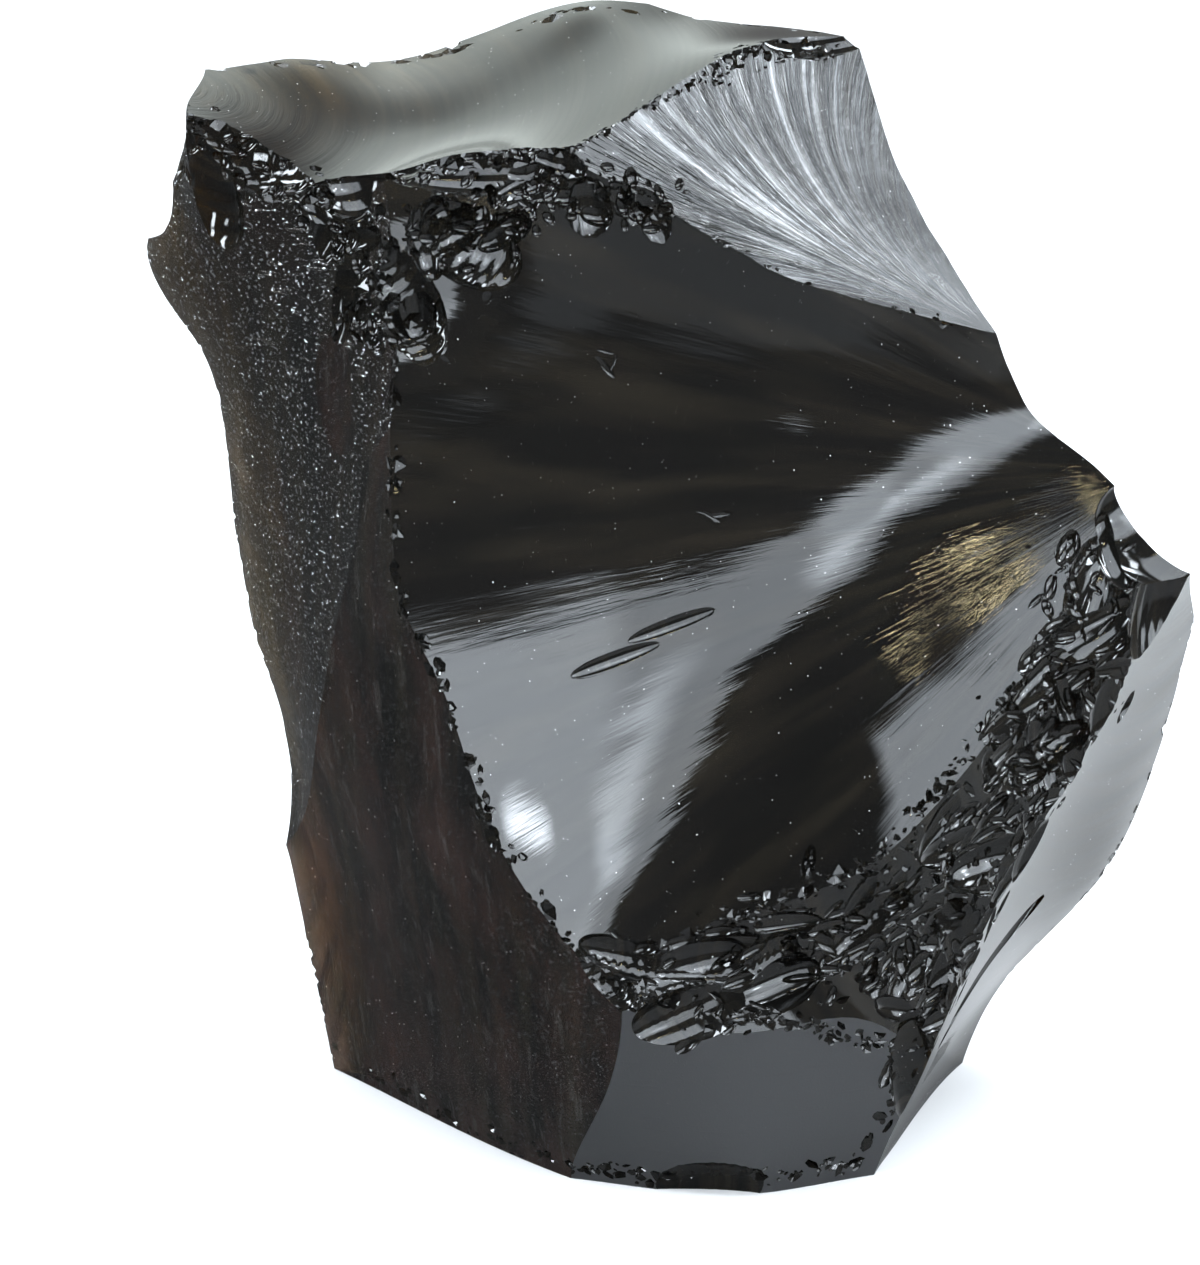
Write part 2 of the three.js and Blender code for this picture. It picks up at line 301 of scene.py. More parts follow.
def wander(seed, scale, count=6):
    """A smooth random curve of one number, from a few sines of falling size."""
    draw = random.Random(seed)
    waves = [(draw.uniform(0.7, 1.4) * 1.7 ** i / scale, draw.uniform(0, 6.3), 1.5 ** -i)
             for i in range(count)]
    total = sum(size for _, _, size in waves)

    def curve(x):
        return sum(size * np.sin(6.28 * x * often + start) for often, start, size in waves) / total
    return curve


def rings(struck):
    """Grain that spreads in rings from the point where the blow landed, given on the chunk."""
    def grain(place, x, y):
        centre = place.inverted() @ Vector(struck)
        across, along = x - centre.x, y - centre.y
        return np.hypot(across, along), 100 + 20 * np.arctan2(along, across)
    return grain


def rays(end, start, curl=0):
    """Grain that runs out from one end like the ribs of a fan, and curls with distance. The angle
    counts from the line to another point, and is scaled to millimetres 60 mm out."""
    def grain(place, x, y):
        centre, other = place.inverted() @ Vector(end), place.inverted() @ Vector(start)
        base = math.atan2(other.y - centre.y, other.x - centre.x)
        away = np.hypot(x - centre.x, y - centre.y)
        turn = np.arctan2(y - centre.y, x - centre.x) - base
        turn = (turn + math.pi) % (2 * math.pi) - math.pi
        return 60 * turn * (1 + 2500 * curl) / (1 + curl * away ** 2), away
    return grain


def arcs(spacing, rise, seed, fade=60):
    """Ripples that follow the grain, dying away with distance across it."""
    shift = wander(seed, 5 * spacing)
    swell = wander(seed + 1, 9 * spacing)

    def ripple(across, along):
        strength = rise * (0.6 + 0.6 * swell(across)) * np.exp(-across / fade)
        return strength * np.sin(2 * math.pi * across / spacing + 3 * shift(across))
    return ripple


def furrows(scale, rise, seed):
    """Shallow furrows along the grain that widen outward from the end of a fan."""
    run = wander(seed, scale, 5)
    return lambda across, along: rise * np.minimum(along / 60, 1.2) * run(across)


breaks_collection = bpy.data.collections.new("breaks")
bpy.context.scene.collection.children.link(breaks_collection)
slab("top", (0, 0, 1), ["top left front", "top left back", "rear left", "rear rim", "rear peak",
     "rear hump", "top right", "top edge", "top edge low", "crest", "lip", "lip left",
     "dish low"], 1.5, grain=rings((-76, 10, 140)), ripple=arcs(15, 0.05, 3, 90), finish=(0.35, 0, 0))
slab("striped", (0.36, -0.82, 0.45), ["crest", "top right", "notch top", "brow left",
     "brow middle", "brow right"], 0.8,
     grain=rays(point["notch top"], point["crest"], 1.2e-3), ripple=furrows(12, 0.16, 5),
     finish=(1, 0, 0))
slab("shell", (0.3, -0.85, 0.3), ["ridge high", "ridge top", "ridge middle", "ridge low",
     "ridge below", "ridge foot", "crest", "brow left", "brow middle", "brow right", "notch top",
     "notch deep", "notch bottom", "rim high", "rim upper", "rim middle", "rim low",
     "shell high left", "shell high", "shell high right", "shell left", "shell middle",
     "shell right", "shell end", "floor left", "floor middle", "floor right", "floor end",
     "fold left", "fold middle", "fold right", "fold high", "fold end", "heel left",
     "heel middle", "heel right", "heel high", "flank left", "flank middle", "flank right",
     "flank high", "flank end", "flank top", "strip foot", "strip low", "strip middle",
     "strip high", "strip top"], 1.4,
     grain=rays((75, -4, 98), point["ridge foot"]), ripple=furrows(9, 0.05, 7),
     finish=(0.25, 0, 0))
slab("pitted", (-0.87, -0.5, 0), ["top left front", "top left back", "corner low", "horn",
     "left shoulder", "left waist", "left narrow", "left low", "lip left", "band high",
     "band middle", "band low", "band foot", "pitted below"], 1.5, finish=(0, 1, 0.2))
slab("brown", (-0.75, -0.66, 0), ["band high", "band middle", "band low", "band foot",
     "ridge high", "ridge top", "ridge middle", "ridge low", "ridge below", "ridge foot",
     "left foot", "foot left", "base left", "brown left", "brown top"], 1.5, finish=(0, 0.25, 1))
# the chest is satin: rougher, and painted grey as a painted sheen
slab("chest", (0, -1, 0), ["ridge foot", "chest low", "chin", "foot left", "foot middle",
     "foot right"], 1.5, grain=rings((10, -44, -16)), ripple=arcs(7, 0.02, 5), finish=(0.2, 0.1, 0),
     satin_and_painted_sheen=1)
slab("right", (0.8, -0.6, 0), ["brow foot", "cheek", "chin", "right low", "right", "right foot",
     "right upper"], 1.5, grain=rings((76, -6, 90)), ripple=arcs(9, 0.08, 7), finish=(0.3, 0, 0))
slab("crushed", (0.4, -0.8, -0.4), ["brow foot", "rim high", "rim upper", "rim middle", "cheek",
     "chin", "rim low", "ridge foot", "chest low", "crushed above", "crushed below"], 2,
     upward=(0.7, 0.37, 0.45), finish=(0.5, 0, 0))
slab("back left", (-0.3, 0.95, 0), ["top left back", "rear left", "rear rim", "horn",
     "left shoulder", "left waist", "left narrow", "left low", "left foot", "base left",
     "spine top", "spine", "spine foot", "back hollow", "thin high", "thin middle", "thin low",
     "corner low"], 1.5, grain=rings((6, 45, 165)),
     ripple=arcs(12, 0.3, 11, 90), finish=(0.6, 0, 0))
slab("back right", (0.75, 0.6, 0.2), ["rear hump", "spine", "top right", "right waist", "notch top",
     "notch deep", "notch bottom", "shoulder", "right", "back edge", "back hollow right"], 1.5,
     grain=rings((4, 40, 162)), ripple=arcs(10, 0.25, 13, 80), finish=(0.6, 0, 0))
slab("back low", (0.6, 0.7, -0.4), ["spine", "spine foot", "back edge", "right", "right upper",
     "right low", "right foot", "back hollow low"], 1.5, grain=rings((80, 10, 70)),
     ripple=arcs(9, 0.25, 17), finish=(0.6, 0, 0))
slab("back spall", (-0.15, 0.95, -0.25), ["seam left", "seam middle", "seam right", "seam foot",
     "seam deep", "seam base"], 1.5, grain=rings((-20, 16, -6)), ripple=arcs(8, 0.25, 19),
     finish=(0.6, 0, 0))


def cut(stone, collection):
    """Takes every piece in a collection out of the stone, then throws the pieces away."""
    saw = stone.modifiers.new("saw", "BOOLEAN")
    saw.operation = "DIFFERENCE"
    saw.operand_type = "COLLECTION"
    saw.collection = collection
    saw.solver = "MANIFOLD"
    sawn = stone.evaluated_get(bpy.context.evaluated_depsgraph_get())
    left = bpy.data.meshes.new_from_object(sawn)
    stone.modifiers.clear()
    stone.data = left
    for piece in list(collection.objects):
        bpy.data.meshes.remove(piece.data)
    bpy.data.collections.remove(collection)


bm = bmesh.new()
bmesh.ops.create_cube(bm, size=1)
bmesh.ops.scale(bm, verts=bm.verts[:], vec=BLOCK)
bmesh.ops.translate(bm, verts=bm.verts[:], vec=(0, 0, BLOCK[2] / 2))
stone = finished(bm, "obsidian", bpy.context.scene.collection)
dress(stone, 1)
cut(stone, breaks_collection)


# Flake scars. Knocks took hollow flakes off the corners, and pressure ran a band of them across the
# front. A scar is ribbed around the end where it was struck, or furrowed along its length.
def flake(collection, at, facing, along, size, detail=4, ribs=0, rise=0, furrowed=False,
          jagged=0, seed=0):
    """The piece that one flake takes away: a flattened ball, sunk to its depth. Its length runs
    along a direction, away from the struck end. Its ribs are so far apart and rise so high. A
    jagged one is a small angular crumb."""
    length, breadth, depth = size
    draw = random.Random(seed)
    place = place_facing(at, facing, along)
    bm = bmesh.new()
    bmesh.ops.create_icosphere(bm, subdivisions=detail, radius=1)
    if jagged:
        for v in bm.verts:
            v.co *= draw.uniform(1 - jagged, 1 + jagged)
    wide = math.sqrt(0.75)  # the ball is as wide as this where it meets the surface
    bmesh.ops.scale(bm, verts=bm.verts[:], vec=(breadth / 2 / wide, length / 2 / wide, 2 * depth))
    bmesh.ops.translate(bm, verts=bm.verts[:], vec=(0, 0, depth))
    flow = []
    for v in bm.verts:
        away = math.hypot(v.co.x, v.co.y + 0.55 * length)
        side = v.co.x / (0.6 + away / length)
        flow.append((3 * side, 60 + away) if furrowed else (3 * away, 60 + v.co.x))
        if ribs:
            phase = (side if furrowed else away) / ribs
            v.co.z += rise * math.sin(2 * math.pi * phase + 1.5 * math.sin(phase + seed))
    bmesh.ops.transform(bm, matrix=place, verts=bm.verts[:])
    made = finished(bm, "flake", collection)
    made.data.shade_smooth()
    dress(made, -1, flow, (0.15, 0, 0), facets=bool(jagged))


def gather(name):
    """A collection for the pieces of one round of flakes."""
    made = bpy.data.collections.new(name)
    bpy.context.scene.collection.children.link(made)
    return made


spalls = gather("spalls")
# top left corner and the notch beside the horn
flake(spalls, (-64, -4, 135), (-0.7, -0.63, 0.1), (0.2, 0, -1), (19, 12, 3), 5, 2.8, 0.1)
flake(spalls, (-75.5, 16, 133), (-1, 0, 0.25), (0, 1, 0), (19, 12, 5), 5, 2, 0.08)
flake(spalls, (-57, -8, 143), (-0.3, -0.7, 0.65), (1, -0.4, -0.2), (20, 9, 3), 5, 2, 0.08)
flake(spalls, (-43.5, -12, 139), (0, -0.6, 0.8), (1, 0, 0), (11, 10, 3), 4)
flake(spalls, (-45.5, -17, 127), (-0.5, -0.8, 0.1), (0.1, 0, 1), (20, 6, 1.5), 4, 2, 0.05)
# ribbed fans under the lip
flake(spalls, (-28, -19, 133), (0.35, -0.9, 0.35), (1, 0, -0.6), (15, 10, 1.4), 5, 1.9, 0.08)
flake(spalls, (-36.5, -23, 125), (0.2, -0.9, 0.4), (0.35, 0, -1), (16, 9, 1.4), 5, 1.9, 0.09)
flake(spalls, (-24, -17, 143), (0, -0.85, 0.5), (1, 0, 0), (26, 7, 2), 4)
# corners of the rim and of the right end
flake(spalls, (23, 7, 158), (0.2, -0.5, 0.85), (1, 0.5, 0), (18, 7, 2), 4)
flake(spalls, (72, -5, 87), (0, -0.8, 0.6), (0.8, -0.2, -0.6), (17, 14, 2), 5, 4, 0.05)
flake(spalls, (73, -12, 76), (0.4, -0.85, 0.3), (-0.1, -0.2, -1), (19, 13, 3), 5, 1.5, 0.1, True)
# ridge beside the shell
flake(spalls, (-25, -42, 52), (-0.2, -0.9, 0.4), (-0.4, 0, 1), (5.5, 4.5, 1.3), 4, 0.8, 0.05)
flake(spalls, (-8, -47, 33), (0, -0.9, 0.4), (0.7, 0, -1), (12, 7, 2), 5, 1.1, 0.06)
# broken foot
flake(spalls, (4, -43, 2), (0, -0.8, -0.5), (1, 0, 0.1), (22, 9, 1.6), 5, 1.6, 0.06)
flake(spalls, (35, -35, 15), (0.7, -0.7, 0), (-0.3, 0, 1), (18, 7, 1.6), 5, 1.6, 0.06)
cut(stone, spalls)


def skin(stone):
    """The surface of the stone as it is now, for finding where a flake sits on it."""
    bm = bmesh.new()
    bm.from_mesh(stone.data)
    tree = BVHTree.FromBMesh(bm)
    bm.free()
    return tree


LONG = 14  # a flake over this length is shaped more finely


def nibble(collection, surface, line, count, spread, length, slim, deep, seed, detail, ribs=0,
           turn=0.6, jagged=0):
    """Flakes strewn along a line: how far to either side they sit, their range of lengths, and how
    slim and how deep they are for their length."""
    draw = random.Random(seed)
    stops = [Vector(point[key]) if isinstance(key, str) else Vector(key) for key in line]
    runs = [(b - a).length for a, b in zip(stops, stops[1:])]
    for each in range(count):
        reach, stretch = draw.uniform(0, sum(runs)), 0
        while reach > runs[stretch]:
            reach -= runs[stretch]
            stretch += 1
        way = (stops[stretch + 1] - stops[stretch]).normalized()
        spot = stops[stretch] + way * reach + Vector(draw.gauss(0, spread / 2) for _ in range(3))
        at, normal, _, _ = surface.find_nearest(spot)
        size = length[0] * (length[1] / length[0]) ** draw.random() ** 1.4
        facing = normal + Vector(draw.gauss(0, 0.2) for _ in range(3))
        along = Matrix.Rotation(draw.gauss(0, turn), 3, normal) @ way * draw.choice((-1, 1))
        shape = (size, size * draw.uniform(*slim), size * draw.uniform(*deep))
        flake(collection, at, facing, along, shape, detail + (size > LONG),
              ribs * draw.uniform(0.8, 1.3), ribs * draw.uniform(0.03, 0.07),
              draw.random() < 0.6, jagged, each)


def crumble(collection, surface, line, count, spread, length):
    """Angular crumbs broken out along a line."""
    nibble(collection, surface, line, count, spread, length, (0.4, 0.85), (0.15, 0.35), count, 1,
           jagged=0.2)


band = [(63, -10, 86), (59, -21, 73), (53, -29, 60), (42, -37, 48), (30, -42, 40),
        (14, -45, 35), (-2, -47, 33)]
lower = [(64, -19, 70), (57, -25, 57), (49, -30, 44), (41, -35, 30), (37, -36, 20)]
corner = [(-68, -2, 147), (-58, -9, 143), (-47, -15, 138), (-42, -19, 130), (-41, -22, 120)]
lip = ["lip left", "lip", "crest"]
below_lip = [(-35, -22, 133), (-14, -15, 140), (0, -13, 136)]
heel = [(28, -38, 30), (40, -33, 38)]
large = gather("large flakes")
surface = skin(stone)
nibble(large, surface, band, 44, 6, (9, 22), (0.28, 0.45), (0.09, 0.15), 21, 4, 1.3, 0.35)
nibble(large, surface, lower, 34, 7, (7, 16), (0.3, 0.5), (0.09, 0.15), 23, 4, 1.2, 0.5)
nibble(large, surface, corner, 14, 4, (5, 10), (0.4, 0.7), (0.1, 0.18), 24, 4, 1.2, 1.2)
nibble(large, surface, lip, 10, 3, (4, 10), (0.4, 0.6), (0.1, 0.16), 25, 4, 1, 0.5)
nibble(large, surface, below_lip, 16, 3, (5, 11), (0.4, 0.7), (0.1, 0.16), 32, 4, 1.3, 1)
nibble(large, surface, heel, 14, 4, (7, 14), (0.3, 0.5), (0.1, 0.16), 33, 4, 1.3, 0.6)
cut(stone, large)
small = gather("small flakes")
surface = skin(stone)
nibble(small, surface, band, 170, 8, (2.5, 7), (0.25, 0.5), (0.12, 0.2), 22, 2, 0, 0.6)
nibble(small, surface, lower, 120, 9, (2.5, 7), (0.25, 0.5), (0.12, 0.2), 26, 2, 0, 0.8)
nibble(small, surface, corner, 90, 5, (2, 5), (0.4, 0.7), (0.15, 0.25), 27, 2, 0, 1.5)
nibble(small, surface, below_lip, 70, 4, (2, 5), (0.4, 0.7), (0.15, 0.25), 34, 2, 0, 1.5)
nibble(small, surface, heel, 40, 5, (2.5, 6), (0.3, 0.6), (0.12, 0.2), 35, 2, 0, 1)
nibble(small, surface, lip, 40, 3, (2, 5), (0.4, 0.7), (0.15, 0.25), 28, 2, 0, 1)
# small marks on the shell: two lens-shaped flakes, and thin shallow ones under the lip
for spot, length in (((-7, -23.5, 73.8), 12.5), ((1.5, -21.5, 78.5), 12)):
    at, normal, _, _ = surface.find_nearest(Vector(spot))
    flake(small, at, normal, (1, 0.4, 0.28), (length, 0.2 * length, 0.3), 4)
at, normal, _, _ = surface.find_nearest(Vector((52, -15, 22.5)))
flake(small, at, normal, (23.5, 26, 21), (36, 4, 0.5), 5, 1.2, 0.03, True)
nibble(small, surface, [(-38, -24, 122), (-24, -22, 121)], 12, 4, (3, 8), (0.3, 0.7),
        (0.01, 0.03), 29, 2, 0, 1.5)
nibble(small, surface, [(-13, -14, 118), (-3, -13, 113)], 3, 3, (3, 5), (0.2, 0.3),
        (0.04, 0.07), 30, 2, 0, 1.5)
nibble(small, surface, [(6, -14, 93), (12, -14, 89)], 3, 1, (4, 6), (0.15, 0.25),
        (0.03, 0.05), 31, 2, 0, 0.3)
cut(stone, small)

crumbs = gather("crumbs")
surface = skin(stone)
left_ridge = ["ridge high", "ridge top", "ridge middle", "ridge low", "ridge below", "ridge foot"]
crumble(crumbs, surface, band, 200, 9, (1, 3))
crumble(crumbs, surface, ["rim high", "rim upper", "rim middle", "rim low", "ridge foot"], 210,
        2, (0.8, 2.8))
crumble(crumbs, surface, lower, 170, 6, (0.9, 3))
crumble(crumbs, surface, left_ridge, 120, 1.6, (1, 3.5))
crumble(crumbs, surface, ["ridge foot", "chest low", "chin"], 150, 1.5, (0.8, 2.5))
crumble(crumbs, surface, lip, 120, 3, (1, 3.5))
crumble(crumbs, surface, [(-35, -21, 137), (-14, -15, 142), (0, -12, 138)], 110, 4, (1, 3))
crumble(crumbs, surface, ["band high", "ridge high", (-28, -18, 138)], 80, 5, (1, 4))
crumble(crumbs, surface, ["corner low", "top left front", "lip left"], 160, 6, (1, 3.5))
crumble(crumbs, surface, ["crest", "top edge low", (8, -2, 155)], 90, 0.8, (0.6, 1.8))
crumble(crumbs, surface, [(8, -2, 155), "top edge", (24, 7, 158)], 110, 2.5, (0.8, 2.5))
crumble(crumbs, surface, ["top left back", "rear rim", "rear peak", "rear hump", "top right"],
        60, 1.5, (1, 4))
crumble(crumbs, surface, ["foot left", "foot middle", "foot right", "chin"], 130, 1.6, (0.8, 3))
crumble(crumbs, surface, ["left foot", "base left", "foot left"], 50, 2, (1, 3))
crumble(crumbs, surface, ["right", "right upper", "right low", "right foot"], 45, 1, (1, 3))
crumble(crumbs, surface, ["horn", "left shoulder", "left waist", "left low", "left foot"], 35,
        0.6, (0.8, 2.5))
crumble(crumbs, surface, ["crest", "brow left", "brow middle", "brow right", "notch top"], 55,
        0.5, (0.5, 1.5))
cut(stone, crumbs)

# The finished skin. Each break and scar keeps its own smooth surface right up to its edge, so the
# ridges stay knife sharp. The chunk is then set down on the middle of its base, in metres.
mesh = stone.data
carried = np.empty(len(mesh.loops) * 3, np.float32)
mesh.attributes["glass normal"].data.foreach_get("vector", carried)
carried = carried.reshape(-1, 3)
carried /= np.maximum(np.linalg.norm(carried, axis=1, keepdims=True), 1e-6)
mesh.attributes.remove(mesh.attributes["glass normal"])
mesh.normals_split_custom_set(carried)
spread = np.array([v.co for v in mesh.vertices])
middle = (spread.min(0) + spread.max(0)) / 2
settled = Matrix.Translation((-middle[0], -middle[1], -spread[:, 2].min()))
mesh.transform(Matrix.Scale(MM, 4) @ settled)
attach(stone, "root")
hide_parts("obsidian_chunk")


# Volcanic glass. It mirrors like a window pane, and is so dark that only its thinnest edges let
# light through, where they glow olive brown. Its breaks carry fine streaks, pits and brown veins.
class Wire:
    """A shader socket that can be reckoned with like a number."""
    def __init__(self, tree, socket):
        self.tree, self.socket = tree, socket

    def node(self, kind, settings=None, result=0, **values):
        """Adds any node: its settings first, then the values or links of its inputs."""
        made = self.tree.nodes.new(kind)
        for key, value in (settings or {}).items():
            setattr(made, key, value)
        for key, value in values.items():
            slot = made.inputs[int(key[1:]) if key[1:].isdigit() else key.replace("_", " ")]
            if isinstance(value, Wire):
                self.tree.links.new(value.socket, slot)
            else:
                slot.default_value = value
        return Wire(self.tree, None if result is None else made.outputs[result])

    def sum(self, operation, a, b):
        return self.node("ShaderNodeMath", {"operation": operation}, _0=a, _1=b)

    def __add__(self, other): return self.sum("ADD", self, other)
    def __radd__(self, other): return self.sum("ADD", other, self)
    def __sub__(self, other): return self.sum("SUBTRACT", self, other)
    def __rsub__(self, other): return self.sum("SUBTRACT", other, self)
    def __mul__(self, other): return self.sum("MULTIPLY", self, other)
    def __rmul__(self, other): return self.sum("MULTIPLY", other, self)

    def step(self, low, high):
        """Rises smoothly from 0 at one value to 1 at another, or falls where they are swapped."""
        return self.node("ShaderNodeMapRange", {"interpolation_type": "SMOOTHSTEP"},
                         Value=self, From_Min=low, From_Max=high)

    def split(self):
        """The three numbers of a vector."""
        made = self.node("ShaderNodeSeparateXYZ", Vector=self).socket.node
        return [Wire(self.tree, number) for number in made.outputs]

    def times(self, amounts):
        """A vector with each of its numbers multiplied by its own amount."""
        return self.node("ShaderNodeVectorMath", {"operation": "MULTIPLY"}, _0=self, _1=amounts)

    def stretched(self, x, y, z):
        return self.node("ShaderNodeMapping", Vector=self, Scale=(x, y, z))

    def noise(self, scale, detail=2.0, roughness=0.5):
        return self.node("ShaderNodeTexNoise", Vector=self, Scale=scale, Detail=detail,
                         Roughness=roughness)

    def blend(self, colour, other):
        """Mixes two colours by this amount."""
        return self.node("ShaderNodeMix", {"data_type": "RGBA"}, result=2,
                         _0=self, _6=colour, _7=other)


glass = bpy.data.materials.new("volcanic glass")
glass.use_nodes = True
glass.node_tree.nodes.clear()
bare = Wire(glass.node_tree, None)
place = bare.node("ShaderNodeTexCoord", result=3)
flow = bare.node("ShaderNodeAttribute", {"attribute_name": "flow"}, result=1)
finish = bare.node("ShaderNodeAttribute", {"attribute_name": "finish"}, result=1)
streaked, pitted, brown = finish.split()
across, along, satin_and_painted_sheen = flow.split()
grain = flow.times((1, 1, 0))

# Streaks along the grain, from broad ones down to hairs. They fade at the end of a fan, where they
# run together into one smooth shine, and are deepest beside the brow. Depths are in metres.
FAINT_STREAK, STREAK, BROW_STREAK = 0.00004, 0.00016, 0.0004
sharp = streaked * streaked
open_fan = along.step(-10, 55)
brow = across.step(32, 2)
streaks = grain.stretched(0.5, 0.02, 1).noise(1, 4, 0.7)
bands = grain.stretched(0.16, 0.01, 1).noise(1, 3, 0.6)
glints = (streaks * 0.6 + bands * 0.4).step(0.48, 0.62) * open_fan * (0.15 + 0.7 * brow)
shine = (glints + (1 - open_fan)) * sharp * 0.75
depth = streaks * open_fan * (streaked * FAINT_STREAK + sharp * (STREAK + BROW_STREAK * brow))

# pits and white specks, with level hairlines between them, and upright veins on the brown face
PIT, HAIRLINE, VEIN = 0.00008, 0.00012, 0.00001
LEVEL, UPRIGHT = (90, 90, 1300), (700, 700, 60)
pits = place.noise(2600, 1, 0.5).step(0.56, 0.68)
run = brown.node("ShaderNodeMix", {"data_type": "VECTOR"}, result=1,
                 _0=brown, _4=place.times(LEVEL), _5=place.times(UPRIGHT))
lines = run.noise(1, 2, 0.6).step(0.6, 0.68)
specks = place.stretched(1, 1, 1.4).noise(1700, 0).step(0.665, 0.71) * (pitted + 0.05 * brown)
dust = place.noise(3300, 0).step(0.85, 0.9) * (1 - pitted)
depth = depth + pits * pitted * PIT + lines * (pitted * HAIRLINE + brown * VEIN)
bump = depth.node("ShaderNodeBump", Strength=1.0, Distance=1.0, Height=depth)

BLACK, OLIVE, BROWN = (0.03, 0.03, 0.028, 1), (0.12, 0.10, 0.07, 1), (0.3, 0.16, 0.13, 1)
# the first grey here is a painted sheen for the satin chest face, not a colour of the glass
PAINTED_SHEEN_GREY, VEIN_GREY, WHITE = (0.37, 0.38, 0.4, 1), (0.55, 0.52, 0.48, 1), (0.8, 0.8, 0.8, 1)
olive_stain = grain.stretched(0.2, 0.02, 1).noise(1, 3, 0.6).step(0.4, 0.75)
brown_stain = place.stretched(1, 1, 0.4).noise(70, 5, 0.7).step(0.35, 0.8)
body = olive_stain.blend(BLACK, OLIVE)
body = (brown * brown_stain).blend(body, BROWN)
# painted sheen: the satin chest face is painted grey; its extra roughness below is real
body = satin_and_painted_sheen.blend(body, PAINTED_SHEEN_GREY)
body = (lines * (brown * 0.25 + pitted * 0.3)).blend(body, VEIN_GREY)
body = (specks + dust).blend(body, WHITE)
dull = streaks.step(0.55, 0.7) * (sharp * open_fan * 0.3)
roughness = 0.02 + dull + pitted * 0.2 + brown * 0.08 + satin_and_painted_sheen * 0.28 + dust * 0.5
bright = specks + dust + lines * (pitted * 0.4)

surface = bare.node("ShaderNodeBsdfPrincipled", Base_Color=body, Roughness=roughness,
                    Metallic=bright, IOR=1.5, Transmission_Weight=0.93, Coat_Weight=shine,
                    Coat_IOR=1.5, Coat_Roughness=0.03, Normal=bump)
dark = bare.node("ShaderNodeVolumeAbsorption", Color=(0.66, 0.56, 0.32, 1), Density=420.0)
bare.node("ShaderNodeOutputMaterial", {}, result=None, Surface=surface, Volume=dark)
stone.data.materials.clear()
stone.data.materials.append(glass)


# The studio: a flat pale sheet of paper on the table, in a white room. Seen in the glass, the
# paper shows painted shade and light: near black on the left, grey to the right and light behind
# on the right. The room seen in the glass is dim, and darker on the left.
def mirrored(bare):
    """1 for what is seen mirrored in the glass, and 0 for what is seen itself or through it."""
    path = bare.node("ShaderNodeLightPath", result="Is Glossy Ray")
    return path * (1 - Wire(bare.tree, path.socket.node.outputs["Is Transmission Ray"]))


bm = bmesh.new()
bmesh.ops.create_circle(bm, cap_ends=True, segments=64, radius=4)
floor = finished(bm, "floor", bpy.context.scene.collection)
paper = bpy.data.materials.new("pale paper")
paper.use_nodes = True
paper.node_tree.nodes.clear()
sheet_of = Wire(paper.node_tree, None)
rightward, behind, _ = sheet_of.node("ShaderNodeTexCoord", result=3).split()
# painted shade and light on the paper where the glass mirrors it: near black on the left, grey to the
# right, lighter behind
painted_floor_in_glass = 0.04 + rightward.step(-0.08, 0.04) * (0.13 + 0.34 * behind.step(-0.02, 0.08))
shade = mirrored(sheet_of).blend((0.6, 0.6, 0.6, 1), painted_floor_in_glass)
matte = sheet_of.node("ShaderNodeBsdfDiffuse", Color=shade)
sheet_of.node("ShaderNodeOutputMaterial", {}, result=None, Surface=matte)
floor.data.materials.append(paper)


MIDDLE = Vector((0, 0, 0.08))  # of the chunk


def softbox(name, turned, raised, away, wide, tall, radiance, colour=(0.84, 0.92, 1), soft=0.3,
            lean=0):
    """A soft lamp, placed by how far it is turned to the right of the view and raised, with how
    wide and tall it looks from the chunk, all in degrees, how bright its face is, how far in from
    its edges it fades, and how far it leans over."""
    toward = (Matrix.Rotation(math.radians(-turned), 3, "Z")
              @ Matrix.Rotation(math.radians(raised), 3, "X") @ Vector((0, 1, 0)))
    data = bpy.data.lights.new(name, "AREA")
    data.shape = "RECTANGLE"
    data.size = 2 * away * math.tan(math.radians(wide / 2))
    data.size_y = 2 * away * math.tan(math.radians(tall / 2))
    data.energy = math.pi * data.size * data.size_y
    data.color = colour
    data.use_nodes = True
    data.node_tree.nodes.clear()
    lamp = Wire(data.node_tree, None)
    across, up, _ = lamp.node("ShaderNodeNewGeometry", result="Parametric").split()
    face = across.step(0, soft) * across.step(1, 1 - soft) * up.step(0, soft) * up.step(1, 1 - soft)
    shine = lamp.node("ShaderNodeEmission", Strength=face * radiance)
    lamp.node("ShaderNodeOutputLight", {}, result=None, Surface=shine)
    made = bpy.data.objects.new(name, data)
    bpy.context.scene.collection.objects.link(made)
    made.location = MIDDLE + toward * away
    leant = Quaternion((0, 0, 1), math.radians(lean))
    made.rotation_euler = (toward.to_track_quat("Z", "Y") @ leant).to_euler()
    made.visible_camera = False


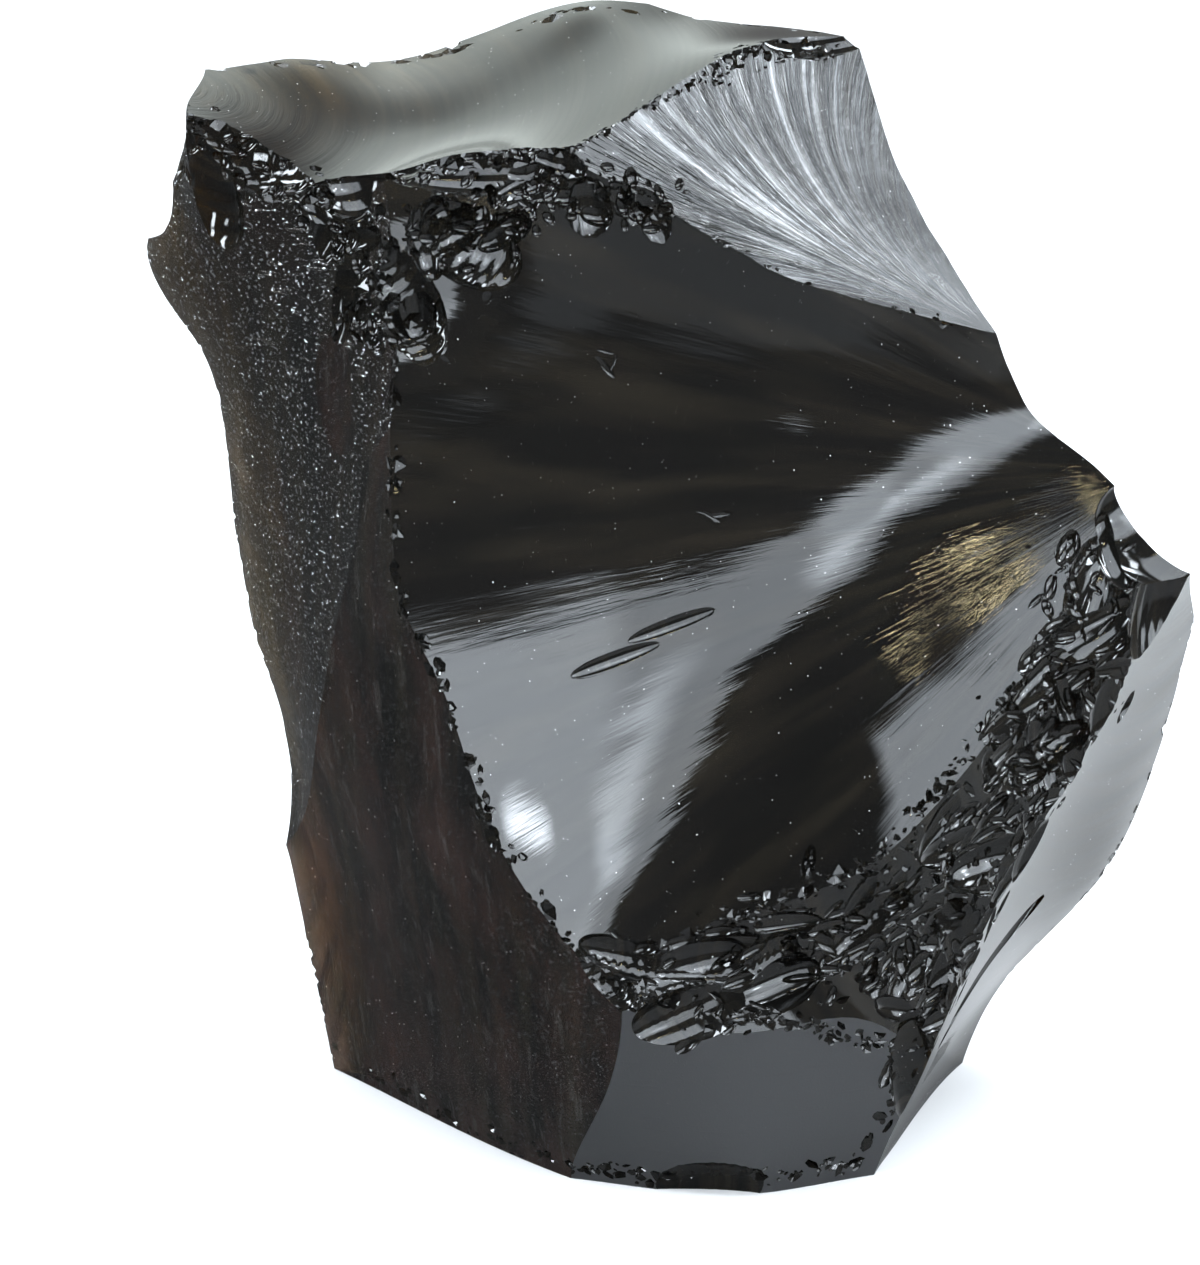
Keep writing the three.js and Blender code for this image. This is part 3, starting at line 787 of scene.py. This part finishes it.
softbox("key window", 121, 28, 1.2, 50, 32, 2.4, soft=0.2)
softbox("hot spot", 117.5, 30, 1.2, 10, 10, 36, soft=0.5)
softbox("middle glow", 149, 35, 1.2, 24, 16, 7, soft=0.45)
softbox("second window", 142, 31, 1.3, 92, 33, 4.6, soft=0.08)
softbox("ceiling", 160, 84, 1.3, 44, 36, 5.5, soft=0.1)
softbox("back window", -18, 28, 1.8, 52, 44, 1.55, (0.9, 1, 0.96), soft=0.3)
softbox("left strip", -95, 35, 1.3, 12, 50, 26)
softbox("high left strip", -50, 50, 1.3, 14, 30, 20)
softbox("front left strip", -130, 20, 1.3, 10, 30, 26)
softbox("right strip", 55, 40, 1.3, 14, 50, 24)
softbox("high right strip", 85, 60, 1.3, 20, 10, 24)
softbox("warm lamp", 157, 64, 1.2, 16, 0.6, 55, (1, 0.86, 0.5), soft=0.25, lean=12)

world = bpy.data.worlds.new("studio")
bpy.context.scene.world = world
world.use_nodes = True
world.node_tree.nodes.clear()
room = Wire(world.node_tree, None)
rightward, _, _ = room.node("ShaderNodeTexCoord", result=0).split()
walls = 0.1 + 0.13 * rightward.step(-0.7, 0.5)
backdrop = mirrored(room).blend((0.98, 0.98, 0.98, 1), walls)
backdrop = room.node("ShaderNodeBackground", Color=backdrop, Strength=1.0)
room.node("ShaderNodeOutputWorld", {}, result=None, Surface=backdrop)

EYE_HEIGHT = math.radians(15)
AWAY = 0.75
SHOWN = 0.186  # metres that the longer side of the picture spans at the chunk
target = Vector((-0.0105, 0, 0.072))
lens = bpy.data.cameras.new("camera")
lens.sensor_width = 36
lens.lens = lens.sensor_width * AWAY / SHOWN
camera = bpy.data.objects.new("camera", lens)
bpy.context.scene.collection.objects.link(camera)
look = Vector((0, math.cos(EYE_HEIGHT), -math.sin(EYE_HEIGHT)))
camera.location = target - look * AWAY
camera.rotation_euler = look.to_track_quat("-Z", "Y").to_euler()
bpy.context.scene.camera = camera
bpy.context.scene.view_settings.view_transform = "Standard"
